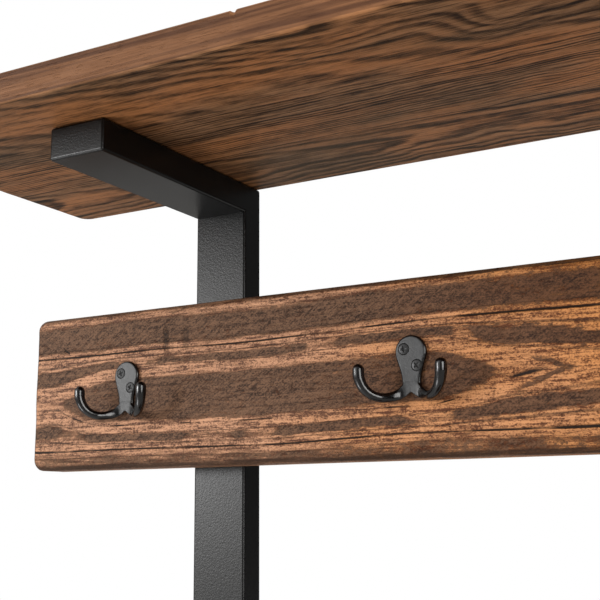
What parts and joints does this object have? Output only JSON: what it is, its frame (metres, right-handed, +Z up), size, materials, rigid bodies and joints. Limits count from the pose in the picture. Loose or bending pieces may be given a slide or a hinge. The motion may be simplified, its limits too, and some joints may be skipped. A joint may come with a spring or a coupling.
{
  "type": "hall tree",
  "caption": "Free-standing hall tree: black steel tube side frames carry a hat shelf, a rustic wood board of double coat hooks, a bench seat and a shoe shelf, on levelling feet.",
  "frame": {"origin": "on the floor under the middle of the tree", "axes": "+X along the boards to the right seen from the front, -Y out of the front, +Z up"},
  "size_m": [0.99, 0.389, 1.83],
  "materials": {
    "rustic_board": "distressed stained softwood, open grain, dull varnish",
    "walnut_shelf": "dark stained softwood, fine streaky grain, dull varnish",
    "black_powder_coat": "satin powder coat with a fine texture",
    "black_hook_iron": "semi-gloss black",
    "zinc_plated_steel": "bright zinc",
    "black_plastic": "matte moulded"
  },
  "bodies": {
    "tree": {"left_post": "black_powder_coat", "left_shelf_arm": "black_powder_coat", "left_arm_cap": "black_powder_coat", "left_seat_rail": "black_powder_coat", "left_lower_rail": "black_powder_coat", "left_front_leg": "black_powder_coat", "left_nut_strip": "zinc_plated_steel", "stretcher_end_plate_left": "zinc_plated_steel", "stretcher_bolt_left": "black_powder_coat", "right_post": "black_powder_coat", "right_shelf_arm": "black_powder_coat", "right_arm_cap": "black_powder_coat", "right_seat_rail": "black_powder_coat", "right_lower_rail": "black_powder_coat", "right_front_leg": "black_powder_coat", "right_nut_strip": "zinc_plated_steel", "stretcher_end_plate_right": "zinc_plated_steel", "stretcher_bolt_right": "black_powder_coat", "rear_stretcher": "black_powder_coat", "front_left_tube_plug": "black_plastic", "front_right_tube_plug": "black_plastic", "rear_left_tube_plug": "black_plastic", "rear_right_tube_plug": "black_plastic", "shelf_bolt_left_1": "zinc_plated_steel", "seat_bolt_left_1": "black_powder_coat", "shoe_shelf_bolt_left_1": "black_powder_coat", "board_bolt_left_1": "black_powder_coat", "shelf_bolt_left_2": "zinc_plated_steel", "seat_bolt_left_2": "black_powder_coat", "shoe_shelf_bolt_left_2": "black_powder_coat", "board_bolt_left_2": "black_powder_coat", "shelf_bolt_right_1": "zinc_plated_steel", "seat_bolt_right_1": "black_powder_coat", "shoe_shelf_bolt_right_1": "black_powder_coat", "board_bolt_right_1": "black_powder_coat", "shelf_bolt_right_2": "zinc_plated_steel", "seat_bolt_right_2": "black_powder_coat", "shoe_shelf_bolt_right_2": "black_powder_coat", "board_bolt_right_2": "black_powder_coat", "hat_shelf": "walnut_shelf", "bench_seat": "rustic_board", "shoe_shelf": "walnut_shelf", "hook_board": "rustic_board", "double_hook_1": "black_hook_iron", "hook_screw_1_upper": "black_hook_iron", "hook_screw_1_lower": "black_hook_iron", "double_hook_2": "black_hook_iron", "hook_screw_2_upper": "black_hook_iron", "hook_screw_2_lower": "black_hook_iron", "double_hook_3": "black_hook_iron", "hook_screw_3_upper": "black_hook_iron", "hook_screw_3_lower": "black_hook_iron", "double_hook_4": "black_hook_iron", "hook_screw_4_upper": "black_hook_iron", "hook_screw_4_lower": "black_hook_iron"},
    "front_left_foot": {"front_left_levelling_foot": "black_plastic"},
    "front_right_foot": {"front_right_levelling_foot": "black_plastic"},
    "rear_left_foot": {"rear_left_levelling_foot": "black_plastic"},
    "rear_right_foot": {"rear_right_levelling_foot": "black_plastic"}
  },
  "joints": [
    {"name": "front_left_foot_height", "type": "slide", "parent": "tree", "child": "front_left_foot", "axis": [0, 0, 1], "range_m": [-0.008, 0]},
    {"name": "front_right_foot_height", "type": "slide", "parent": "tree", "child": "front_right_foot", "axis": [0, 0, 1], "range_m": [-0.008, 0]},
    {"name": "rear_left_foot_height", "type": "slide", "parent": "tree", "child": "rear_left_foot", "axis": [0, 0, 1], "range_m": [-0.008, 0]},
    {"name": "rear_right_foot_height", "type": "slide", "parent": "tree", "child": "rear_right_foot", "axis": [0, 0, 1], "range_m": [-0.008, 0]}
  ]
}
